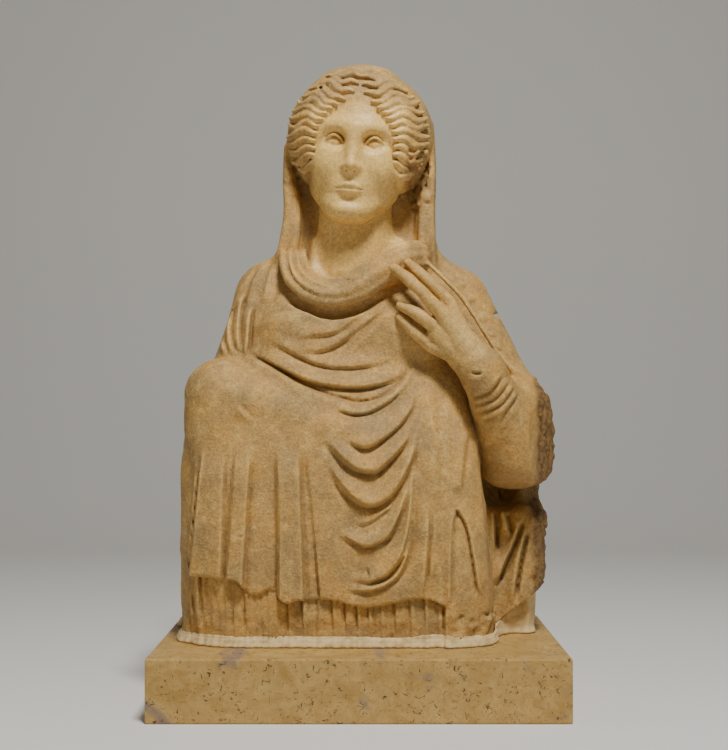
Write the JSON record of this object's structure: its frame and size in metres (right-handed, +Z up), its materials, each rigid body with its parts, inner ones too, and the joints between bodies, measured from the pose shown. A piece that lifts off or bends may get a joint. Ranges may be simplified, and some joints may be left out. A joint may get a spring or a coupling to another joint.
{
  "type": "classical bust on a plinth",
  "caption": "Veiled draped half-length marble bust with one hand raised to the neckline, bedded in plaster on a low rectangular stone plinth.",
  "frame": {"origin": "middle of the plinth's underside", "axes": "+Z up, -Y to the side the figure faces, +X to the right of someone facing the bust"},
  "size_m": [0.5808, 0.43, 0.9514],
  "materials": {
    "marble": "carved, weathered honey-coloured marble, satin on the face and hand and granular on the cloth",
    "plaster": "matt off-white plaster, trowelled",
    "limestone": "sawn and honed beige fossil limestone with a satin surface"
  },
  "bodies": {
    "root": {"bust": "marble", "plaster_bed": "plaster", "plinth": "limestone"}
  },
  "joints": []
}
